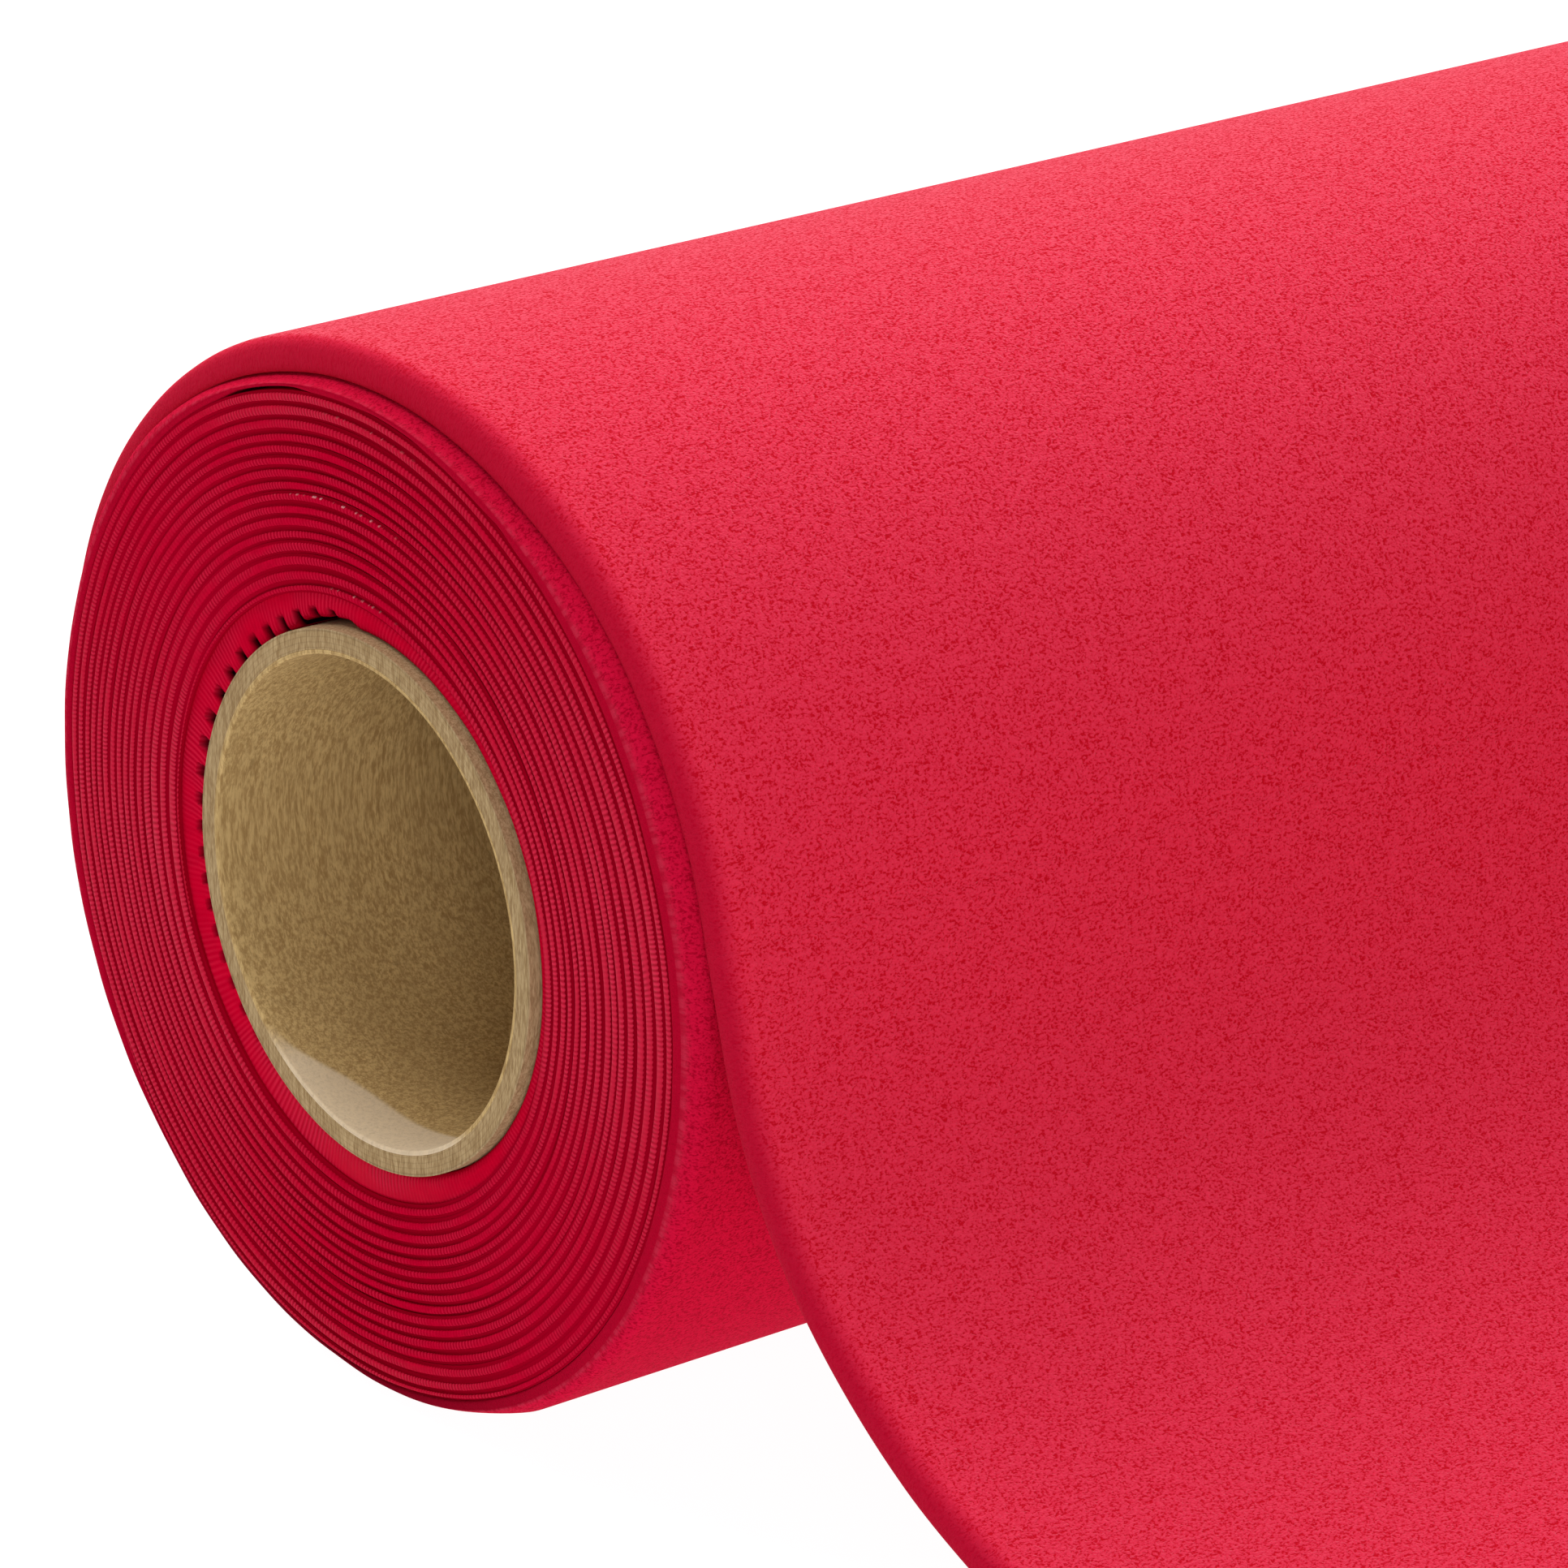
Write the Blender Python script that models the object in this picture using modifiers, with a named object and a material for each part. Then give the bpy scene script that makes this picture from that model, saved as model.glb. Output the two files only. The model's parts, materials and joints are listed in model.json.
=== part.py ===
"""Backdrop roll: a sheet wound on a paperboard core, lying on a surface with
its last turn loose and the sheet drawn off over the top, down the front and
out along the surface.

Metres. +X along the core, +Z up, the sheet is drawn off towards -Y.
The origin is on the core's axis, halfway along it. The wound sheet isn't
quite concentric with the core: the core lies against the front of the hollow.
"""

import math

import bpy
from mathutils import Matrix, Vector

# ---------------------------------------------------------------- dimensions
WEB_WIDTH = 1.350           # the sheet, from edge to edge
CORE_LENGTH = 1.352         # the core stands 1 mm proud at each end
GAP = 0.0003                # air between neighbouring pieces

BORE_R = 0.0285             # 57 mm bore, for a crossbar or expanding plugs
LINER_R = 0.02895           # outside of the core's inner liner ply
BODY_IN_R = LINER_R + GAP
BODY_OUT_R = 0.03090        # outside of the core's body plies
SKIN_IN_R = BODY_OUT_R + GAP
CORE_R = 0.0315             # outside of the core
CORE_CHAMFER = 0.0001

# the axis of the wound sheet, which is the axis the roll turns about
PACK_Y = 0.00177
PACK_Z = -0.00031

TAPE_THICK = 0.00018        # strip that fastens the sheet's start to the core
TAPE_FROM_DEG = -20.0
TAPE_TO_DEG = 40.0
TAPE_INSET = 0.010          # the strip stops this far short of each edge

SEG = 36                    # straight segments to a turn, on every wound piece
STEP = 2 * math.pi / SEG
SPIRAL_TURNS = 15.5         # turns under the outermost one
SPIRAL_START_DEG = 200.0
SPIRAL_R = 0.0345           # middle of the sheet at its start
PITCH = 0.00143
WALL = 0.0010               # sheet thickness while it is wound tight
ECCENTRIC_MIN = 0.00050     # how far a turn's centre lies off the pack's axis,
ECCENTRIC_MAX = 0.00170     # least for the first and last, most halfway
ECCENTRIC_DEG = 193.6

RING_IN_R = 0.05825         # outermost wound turn, swollen to its full thickness
OUTER_R = 0.0605
FLOOR_Z = -OUTER_R          # the surface the roll lies on, below the pack axis

SHEET = 0.0037              # sheet thickness where it hangs loose
WRAP_FROM_DEG = 11.5        # above the front, where the sheet leaves the roll
WRAP_TO_DEG = 240.0         # nearly underneath, where it joins the wound turns
WRAP_IN_BACK = OUTER_R + GAP
WRAP_IN_TOP = 0.0609
WRAP_IN_FRONT = 0.0622
WRAP_THIN_BACK = 0.0021     # it lies tighter behind, by this much
WRAP_THICK_END = 0.0008
WRAP_STEPS = 26
WEB_SHIFT = 0.0018          # the loose turn has wandered this far along +X

TOUCH_Y = -0.2255           # where the sheet comes to lie flat
LEAVE_LEAN_DEG = 16.8       # off the vertical, as it leaves the roll
DROP_HANDLE = 0.0258        # how straight it leaves the roll
LAND_HANDLE = 0.1544        # how gently it comes down
SWEEP_STEPS = 26
LEAD_LENGTH = 0.200         # flat sheet beyond the touch-down line

COLLECTION = "backdrop_roll"


# -------------------------------------------------------------------- helpers
def clear_scene():
    for ob in list(bpy.data.objects):
        bpy.data.objects.remove(ob, do_unlink=True)
    for coll in list(bpy.data.collections):
        bpy.data.collections.remove(coll)


def material(name, colour, roughness, metallic=0.0):
    mat = bpy.data.materials.new(name)
    mat.use_nodes = True
    bsdf = mat.node_tree.nodes["Principled BSDF"]
    bsdf.inputs["Base Color"].default_value = (*colour, 1.0)
    bsdf.inputs["Roughness"].default_value = roughness
    bsdf.inputs["Metallic"].default_value = metallic
    mat.diffuse_color = (*colour, 1.0)
    return mat


def smooth(t):
    t = min(1.0, max(0.0, t))
    return t * t * (3 - 2 * t)


def on_circle(angle, radius):
    """(y, z) of a point at an angle above the front horizon."""
    return (-radius * math.cos(angle), radius * math.sin(angle))


def extruded(name, outlines, width, centre, mat, coll):
    """A (y, z) outline, or an outline with a hole in it, as a solid of the
    given width along X: a flat curve, filled on both sides and extruded."""
    curve = bpy.data.curves.new(name, "CURVE")
    curve.dimensions = "2D"
    curve.fill_mode = "BOTH"
    curve.extrude = width / 2
    curve.resolution_u = 1
    for outline in outlines:
        spline = curve.splines.new("POLY")
        spline.points.add(len(outline) - 1)
        for point, (y, z) in zip(spline.points, outline):
            point.co = (y, z, 0.0, 1.0)
        spline.use_cyclic_u = True
    ob = bpy.data.objects.new(name, curve)
    # the curve's own X, Y and Z become the part's Y, Z and X
    ob.matrix_world = Matrix(((0, 0, 1, centre[0]),
                              (1, 0, 0, centre[1]),
                              (0, 1, 0, centre[2]),
                              (0, 0, 0, 1)))
    curve.materials.append(mat)
    coll.objects.link(ob)
    return ob


def turned_tube(name, inner_r, outer_r, length, chamfer, mat, coll):
    """A tube along X, from a closed profile and a Screw modifier."""
    half = length / 2
    profile = [(inner_r, -half), (inner_r, half)]
    if chamfer > 0:
        profile += [(outer_r - chamfer, half), (outer_r, half - chamfer),
                    (outer_r, -half + chamfer), (outer_r - chamfer, -half)]
    else:
        profile += [(outer_r, half), (outer_r, -half)]
    # at +X the profile runs down its outer side
    verts = [(r, 0.0, z) for r, z in profile]
    edges = [(i, (i + 1) % len(verts)) for i in range(len(verts))]
    mesh = bpy.data.meshes.new(name)
    mesh.from_pydata(verts, edges, [])
    mesh.materials.append(mat)
    ob = bpy.data.objects.new(name, mesh)
    coll.objects.link(ob)
    screw = ob.modifiers.new("turn", "SCREW")
    screw.axis = "Z"
    screw.angle = 2 * math.pi
    screw.steps = screw.render_steps = 2 * SEG
    screw.use_merge_vertices = True
    screw.merge_threshold = 0.00001
    screw.use_smooth_shade = True
    ob.rotation_euler = (0.0, math.radians(90), 0.0)
    return ob


def arc_outline(from_deg, to_deg, inner, outer, steps):
    """An arc band, whose inner and outer radii are functions of the angle."""
    angles = [from_deg + (to_deg - from_deg) * i / steps
              for i in range(steps + 1)]
    return ([on_circle(math.radians(a), inner(a)) for a in angles]
            + [on_circle(math.radians(a), outer(a)) for a in reversed(angles)])


# ---------------------------------------------------------------- wound sheet
def eccentricity(turn):
    """(y, z) of a turn's centre, from the pack's axis."""
    share = math.sin(math.pi * turn / SPIRAL_TURNS)
    e = ECCENTRIC_MIN + (ECCENTRIC_MAX - ECCENTRIC_MIN) * share
    return on_circle(math.radians(ECCENTRIC_DEG), e)


def spiral_outline():
    inner, outer = [], []
    for i in range(int(SPIRAL_TURNS * SEG) + 1):
        # the sheet is drawn off over the top towards the front, so outwards
        # it is wound front, bottom, back, top: the angle falls
        angle = math.radians(SPIRAL_START_DEG) - i * STEP
        turn = i / SEG
        dy, dz = eccentricity(turn)
        for side, points in ((-0.5, inner), (0.5, outer)):
            y, z = on_circle(angle, SPIRAL_R + PITCH * turn + side * WALL)
            points.append((y + dy, z + dz))
    return inner + outer[::-1]


def ring_outlines(inner_r, outer_r):
    return [[on_circle(i * STEP, r) for i in range(SEG)]
            for r in (outer_r, inner_r)]


# ----------------------------------------------------------------- free sheet
def wrap_inner(deg):
    """The loose turn lies close behind, and stands off over the top and front."""
    back_to_top = smooth((150.0 - deg) / 60.0)
    top_to_front = smooth((90.0 - deg) / (90.0 - WRAP_FROM_DEG))
    return (WRAP_IN_BACK + (WRAP_IN_TOP - WRAP_IN_BACK) * back_to_top
            + (WRAP_IN_FRONT - WRAP_IN_TOP) * top_to_front)


def wrap_outer(deg):
    thick = SHEET - 0.0004 * smooth((deg - 95.0) / 50.0)
    thick -= WRAP_THIN_BACK * smooth((deg - 140.0) / 52.0)
    thick -= (SHEET - 0.0004 - WRAP_THIN_BACK - WRAP_THICK_END) * smooth(
        (deg - 190.0) / 30.0)
    return wrap_inner(deg) + thick


def sweep_line():
    """The sheet's lower face from the roll to the touch-down line, a Bezier
    that leaves the roll leaning outwards and lands along the surface."""
    lean = math.radians(LEAVE_LEAN_DEG)
    p0 = Vector(on_circle(math.radians(WRAP_FROM_DEG), WRAP_IN_FRONT))
    p1 = p0 + DROP_HANDLE * Vector((-math.sin(lean), -math.cos(lean)))
    p3 = Vector((TOUCH_Y, FLOOR_Z))
    p2 = p3 + Vector((LAND_HANDLE, 0.0))
    points = []
    for i in range(SWEEP_STEPS + 1):
        t = i / SWEEP_STEPS
        s = 1 - t
        points.append(s ** 3 * p0 + 3 * s * s * t * p1
                      + 3 * s * t * t * p2 + t ** 3 * p3)
    return points


def sweep_outline():
    """The band between the lower face and one sheet thickness above it. It
    starts one gap below the loose turn and stops at the touch-down line."""
    leave = math.radians(WRAP_FROM_DEG)
    tangent = Vector((-math.sin(leave), -math.cos(leave)))
    low = sweep_line()
    low[0] = low[0] + GAP * tangent
    upper = []
    for i, p in enumerate(low):
        ahead = low[min(i + 1, len(low) - 1)] - low[max(i - 1, 0)]
        if i == 0:
            ahead = tangent.copy()
        if i == len(low) - 1:
            ahead = Vector((-1.0, 0.0))
        ahead.normalize()
        upper.append(p + SHEET * Vector((ahead.y, -ahead.x)))
    return [tuple(p) for p in low] + [tuple(p) for p in reversed(upper)]


def lead_outline():
    near, far = TOUCH_Y - GAP, TOUCH_Y - LEAD_LENGTH
    return [(near, FLOOR_Z), (near, FLOOR_Z + SHEET),
            (far, FLOOR_Z + SHEET), (far, FLOOR_Z)]


def build():
    clear_scene()
    coll = bpy.data.collections.new(COLLECTION)
    bpy.context.scene.collection.children.link(coll)

    liner = material("kraft_liner", (0.46, 0.35, 0.19), 0.85)
    board = material("kraft_board", (0.50, 0.39, 0.22), 0.85)
    skin = material("kraft_skin", (0.44, 0.33, 0.18), 0.80)
    tape = material("tape", (0.80, 0.76, 0.62), 0.45)
    wound = material("red_sheet_edge", (0.55, 0.010, 0.045), 0.80)
    outer = material("red_sheet_outer", (0.62, 0.020, 0.060), 0.90)
    loose = material("red_sheet_loose", (0.72, 0.030, 0.075), 0.95)
    free = material("red_sheet_free", (0.70, 0.028, 0.072), 0.95)
    flat = material("red_sheet_flat", (0.68, 0.026, 0.070), 0.95)

    # the roll turns about the wound sheet's axis, so its pieces hang on an
    # empty that lies there
    axle = bpy.data.objects.new("roll_axis", None)
    axle.location = (0.0, PACK_Y, PACK_Z)
    coll.objects.link(axle)

    # the flat lead slides away from the roll: its empty lies on that line
    slide = bpy.data.objects.new("payout_line", None)
    slide.location = (0.0, PACK_Y + TOUCH_Y, PACK_Z + FLOOR_Z)
    coll.objects.link(slide)
    bpy.context.view_layer.update()

    core = [
        turned_tube("core_inner_liner", BORE_R, LINER_R, CORE_LENGTH, 0.0,
                    liner, coll),
        turned_tube("core_body", BODY_IN_R, BODY_OUT_R, CORE_LENGTH, 0.0,
                    board, coll),
        turned_tube("core_outer_ply", SKIN_IN_R, CORE_R, CORE_LENGTH,
                    CORE_CHAMFER, skin, coll),
    ]

    tape_in = CORE_R + GAP
    strip = extruded(
        "start_tape",
        [arc_outline(TAPE_FROM_DEG, TAPE_TO_DEG,
                     lambda d: tape_in, lambda d: tape_in + TAPE_THICK, 12)],
        WEB_WIDTH - 2 * TAPE_INSET, (0.0, 0.0, 0.0), tape, coll)

    at_pack = (0.0, PACK_Y, PACK_Z)
    wound_web = extruded("wound_web", [spiral_outline()], WEB_WIDTH, at_pack,
                         wound, coll)
    last_turn = extruded("outermost_turn", ring_outlines(RING_IN_R, OUTER_R),
                         WEB_WIDTH, at_pack, outer, coll)

    for ob in core + [strip, wound_web, last_turn]:
        ob.parent = axle
        ob.matrix_parent_inverse = axle.matrix_world.inverted()

    shifted = (WEB_SHIFT, PACK_Y, PACK_Z)
    extruded("loose_wrap",
             [arc_outline(WRAP_FROM_DEG, WRAP_TO_DEG, wrap_inner, wrap_outer,
                          WRAP_STEPS)],
             WEB_WIDTH, shifted, loose, coll)
    extruded("sheet_sweep", [sweep_outline()], WEB_WIDTH, shifted, free, coll)
    lead = extruded("floor_run", [lead_outline()], WEB_WIDTH, shifted, flat,
                    coll)
    lead.parent = slide
    lead.matrix_parent_inverse = slide.matrix_world.inverted()


build()
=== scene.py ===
"""Looks for the backdrop roll: a felt-like red sheet wound on a paperboard
core, its last turn loose and drawn off over the top and out along the floor."""

import json
import math

import bpy
import numpy as np
from mathutils import Matrix, Vector

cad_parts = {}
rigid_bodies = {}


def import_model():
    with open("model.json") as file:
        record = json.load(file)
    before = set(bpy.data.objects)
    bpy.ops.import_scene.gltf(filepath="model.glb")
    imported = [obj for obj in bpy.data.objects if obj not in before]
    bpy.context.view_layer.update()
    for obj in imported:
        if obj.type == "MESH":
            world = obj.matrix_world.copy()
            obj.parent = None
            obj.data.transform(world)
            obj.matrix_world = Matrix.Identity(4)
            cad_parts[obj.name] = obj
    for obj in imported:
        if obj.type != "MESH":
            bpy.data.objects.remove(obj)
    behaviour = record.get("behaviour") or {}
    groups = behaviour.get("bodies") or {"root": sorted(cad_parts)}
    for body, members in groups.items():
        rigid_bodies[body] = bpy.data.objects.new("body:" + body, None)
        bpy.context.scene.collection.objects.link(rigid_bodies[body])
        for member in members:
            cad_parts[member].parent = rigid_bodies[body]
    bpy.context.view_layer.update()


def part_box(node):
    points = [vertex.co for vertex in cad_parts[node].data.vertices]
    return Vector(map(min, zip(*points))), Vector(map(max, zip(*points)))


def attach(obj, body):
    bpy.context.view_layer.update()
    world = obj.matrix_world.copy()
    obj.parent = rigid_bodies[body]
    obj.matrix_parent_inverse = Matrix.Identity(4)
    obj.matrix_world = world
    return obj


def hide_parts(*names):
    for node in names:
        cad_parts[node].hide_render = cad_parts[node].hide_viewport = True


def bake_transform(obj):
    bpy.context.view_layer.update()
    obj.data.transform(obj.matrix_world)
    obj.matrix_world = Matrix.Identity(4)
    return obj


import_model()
RNG = np.random.default_rng(11)

# ------------------------------------------------------------------ dimensions
# All of them repeat the frame's own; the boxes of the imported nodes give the
# places, and the rest are the part's driving dimensions.
LOW, HIGH = (np.array(c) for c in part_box("wound_web"))
HALF_W = (HIGH[0] - LOW[0]) / 2                 # half the sheet's width
ring_low, ring_high = (np.array(c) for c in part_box("outermost_turn"))
PACK_Y = (ring_low[1] + ring_high[1]) / 2       # the wound sheet's axis
PACK_Z = (ring_low[2] + ring_high[2]) / 2
OUTER_R = (ring_high[1] - ring_low[1]) / 2
core_low, core_high = (np.array(c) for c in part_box("core_outer_ply"))
CORE_HALF = core_high[0]
CORE_R = (core_high[2] - core_low[2]) / 2
bore_low, bore_high = (np.array(c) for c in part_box("core_inner_liner"))
LINER_R = (bore_high[2] - bore_low[2]) / 2
BORE_R = 0.0285
FLOOR_Z = float(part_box("floor_run")[0][2])
FREE_Y = float(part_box("floor_run")[0][1])       # the sheet's free end
TOUCH_Y = float(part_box("floor_run")[1][1])      # where it comes to lie flat
SHIFT = float((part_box("loose_wrap")[0][0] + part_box("loose_wrap")[1][0]) / 2)
SHEET = float(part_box("floor_run")[1][2] - FLOOR_Z)
GAP = 0.0003

WRAP_FROM_DEG = 11.5
WRAP_TO_DEG = 240.0
WRAP_IN_BACK = OUTER_R + GAP
WRAP_IN_TOP = 0.0609
WRAP_IN_FRONT = 0.0622
WRAP_THIN_BACK = 0.0021
RIM_R = 0.05945                 # the wound turns' pinched edges end here
LEAVE_LEAN_DEG = 16.8
DROP_HANDLE = 0.0258
LAND_HANDLE = 0.1544


# --------------------------------------------------------------------- helpers
def smooth(t):
    t = np.clip(t, 0.0, 1.0)
    return t * t * (3 - 2 * t)


def wander(x, wavelength, seed, octaves=3):
    """Smooth 1-D noise in about -1..1 at the given wavelength."""
    x = np.asarray(x, float)
    out = np.zeros_like(x)
    total = 0.0
    for o in range(octaves):
        rng = np.random.default_rng(seed * 31 + o)
        table = rng.uniform(-1, 1, 4096)
        u = x / (wavelength / 2 ** o) + 1000.3
        i = np.floor(u).astype(int)
        f = u - i
        f = f * f * (3 - 2 * f)
        a = table[i % 4096]
        b = table[(i + 1) % 4096]
        out += (a + (b - a) * f) * 0.5 ** o
        total += 0.5 ** o
    return out / total


def around(angle, seed, waves=(1, 2, 3, 5, 8)):
    """Noise that closes on itself round a turn, in about -1..1."""
    rng = np.random.default_rng(seed)
    out = np.zeros_like(np.asarray(angle, float))
    total = 0.0
    for w in waves:
        a = 1.0 / math.sqrt(w)
        out += a * np.sin(w * angle + rng.uniform(0, 2 * math.pi))
        total += a
    return out / total


def loft(name, rings, uv=None, floats=None, closed_path=False, caps=True,
         mats=(), smooth_shade=True):
    """A closed mesh from rings of points: rings[s, k] is point k of the
    cross-section at station s. uv[s, k] is stored as the UV map 'flat'."""
    rings = np.asarray(rings, float)
    S, K, _ = rings.shape
    verts = rings.reshape(-1, 3)
    s_end = S if closed_path else S - 1
    s = np.arange(s_end)[:, None]
    k = np.arange(K)[None, :]
    s2 = (s + 1) % S
    k2 = (k + 1) % K
    quads = np.stack([s * K + k, s2 * K + k, s2 * K + k2, s * K + k2],
                     axis=-1).reshape(-1, 4)
    mesh = bpy.data.meshes.new(name)
    faces = quads.tolist()
    if caps and not closed_path:
        faces.append(list(range(K)))
        faces.append([(S - 1) * K + i for i in range(K)][::-1])
    mesh.from_pydata(verts.tolist(), [], faces)
    if uv is not None:
        uv = np.asarray(uv, float)
        layer = mesh.uv_layers.new(name="flat")
        # the last column and, on a closed path, the last row wrap round: they
        # take the length past the seam, so that no texture is squeezed there
        sk = np.stack(np.broadcast_arrays(s, k), -1).reshape(-1, 2)
        corner = []
        for ds, dk in ((0, 0), (1, 0), (1, 1), (0, 1)):
            ss = sk[:, 0] + ds
            kk = sk[:, 1] + dk
            u = uv[np.minimum(ss, uv.shape[0] - 1),
                   np.minimum(kk, uv.shape[1] - 1)]
            corner.append(u)
        corner = np.stack(corner, 1).reshape(-1, 2)
        data = np.zeros((len(mesh.loops), 2))
        data[:len(corner)] = corner
        layer.data.foreach_set("uv", data.astype(np.float32).ravel())
    for key, values in (floats or {}).items():
        att = mesh.attributes.new(key, "FLOAT", "POINT")
        att.data.foreach_set(
            "value", np.asarray(values, np.float32).reshape(-1))
    for m in mats:
        mesh.materials.append(m)
    mesh.validate(clean_customdata=False)
    if smooth_shade:
        mesh.shade_smooth()
        mesh.set_sharp_from_angle(angle=math.radians(50))
    ob = bpy.data.objects.new(name, mesh)
    bpy.context.scene.collection.objects.link(ob)
    # the faces must point out
    import bmesh
    bm = bmesh.new()
    bm.from_mesh(mesh)
    if bm.calc_volume(signed=True) < 0:
        bmesh.ops.reverse_faces(bm, faces=bm.faces)
        bm.to_mesh(mesh)
    bm.free()
    return ob


class Nodes:
    """A short way to write a material's node tree."""

    def __init__(self, name):
        self.mat = bpy.data.materials.new(name)
        self.mat.use_nodes = True
        self.tree = self.mat.node_tree
        self.tree.nodes.clear()
        self.out = self.add("ShaderNodeOutputMaterial")
        self.bsdf = self.add("ShaderNodeBsdfPrincipled")
        self.link(self.bsdf.outputs[0], self.out.inputs["Surface"])

    def add(self, kind, **props):
        node = self.tree.nodes.new(kind)
        for key, value in props.items():
            setattr(node, key, value)
        return node

    def link(self, a, b):
        self.tree.links.new(a, b)

    def put(self, socket, value):
        if hasattr(value, "links") or hasattr(value, "is_output"):
            self.link(value, socket)
        elif isinstance(value, (tuple, list)) and len(value) == 3 \
                and len(socket.default_value) == 4:
            socket.default_value = (*value, 1.0)
        else:
            socket.default_value = value

    def math(self, op, a, b=None, c=None, clamp=False):
        node = self.add("ShaderNodeMath", operation=op, use_clamp=clamp)
        for i, v in enumerate((a, b, c)):
            if v is not None:
                self.put(node.inputs[i], v)
        return node.outputs[0]

    def uv(self, name="flat"):
        return self.add("ShaderNodeUVMap", uv_map=name).outputs[0]

    def attribute(self, name):
        return self.add("ShaderNodeAttribute",
                        attribute_name=name).outputs["Fac"]

    def coords(self):
        return self.add("ShaderNodeTexCoord").outputs["Object"]

    def scaled(self, vector, scale, location=(0, 0, 0)):
        node = self.add("ShaderNodeMapping")
        self.put(node.inputs["Vector"], vector)
        node.inputs["Scale"].default_value = scale
        node.inputs["Location"].default_value = location
        return node.outputs[0]

    def noise(self, vector, scale, detail=2.0, rough=0.5, distortion=0.0,
              dims="3D"):
        node = self.add("ShaderNodeTexNoise", noise_dimensions=dims)
        if dims != "1D":
            self.put(node.inputs["Vector"], vector)
        else:
            self.put(node.inputs["W"], vector)
        node.inputs["Scale"].default_value = scale
        node.inputs["Detail"].default_value = detail
        node.inputs["Roughness"].default_value = rough
        node.inputs["Distortion"].default_value = distortion
        return node.outputs["Fac"]

    def ramp(self, value, a, b, low=0.0, high=1.0, smoothly=True):
        node = self.add("ShaderNodeMapRange", clamp=True)
        node.interpolation_type = "SMOOTHSTEP" if smoothly else "LINEAR"
        self.put(node.inputs["Value"], value)
        node.inputs["From Min"].default_value = a
        node.inputs["From Max"].default_value = b
        node.inputs["To Min"].default_value = low
        node.inputs["To Max"].default_value = high
        return node.outputs["Result"]

    def mix(self, factor, a, b, blend="MIX"):
        node = self.add("ShaderNodeMix", data_type="RGBA", blend_type=blend)
        self.put(node.inputs["Factor"], factor)
        self.put([s for s in node.inputs if s.name == "A"
                  and s.type == "RGBA"][0], a)
        self.put([s for s in node.inputs if s.name == "B"
                  and s.type == "RGBA"][0], b)
        return [s for s in node.outputs if s.type == "RGBA"][0]

    def bump(self, height, distance, strength=1.0, normal=None):
        node = self.add("ShaderNodeBump")
        self.put(node.inputs["Height"], height)
        node.inputs["Distance"].default_value = distance
        node.inputs["Strength"].default_value = strength
        if normal is not None:
            self.put(node.inputs["Normal"], normal)
        return node.outputs[0]

    def set(self, **values):
        for key, value in values.items():
            self.put(self.bsdf.inputs[key.replace("_", " ")], value)


# ------------------------------------------------------------------- materials
def srgb(r, g, b):
    def f(c):
        c /= 255
        return c / 12.92 if c <= 0.04045 else ((c + 0.055) / 1.055) ** 2.4
    return (f(r), f(g), f(b))


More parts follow.
